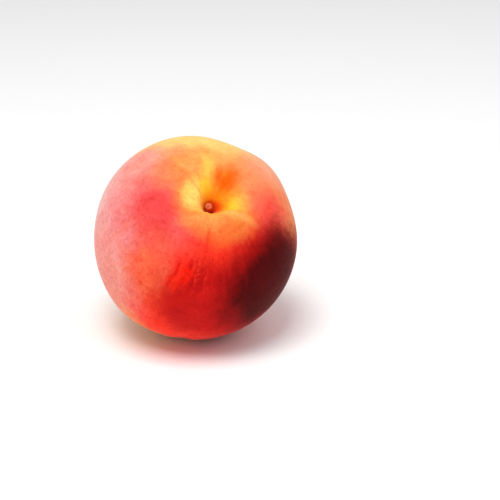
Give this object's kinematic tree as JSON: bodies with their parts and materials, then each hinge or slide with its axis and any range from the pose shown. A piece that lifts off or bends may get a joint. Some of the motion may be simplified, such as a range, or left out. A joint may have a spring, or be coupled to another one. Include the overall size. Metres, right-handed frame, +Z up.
{
  "type": "peach",
  "caption": "Whole ripe peach lying on its side, with a suture groove, a deep stem cavity and the woody stub of the stem in it.",
  "frame": {"origin": "middle of the small flat spot that the fruit rests on", "axes": "+Z up from the surface it rests on, -Y towards the side that the stem end leans to, +X towards the right cheek seen from there"},
  "size_m": [0.0747, 0.0756, 0.0747],
  "materials": {
    "skin": "matte",
    "stem_wood": "matte"
  },
  "bodies": {
    "root": {"fruit": "skin", "stem_stub": "stem_wood"}
  },
  "joints": []
}
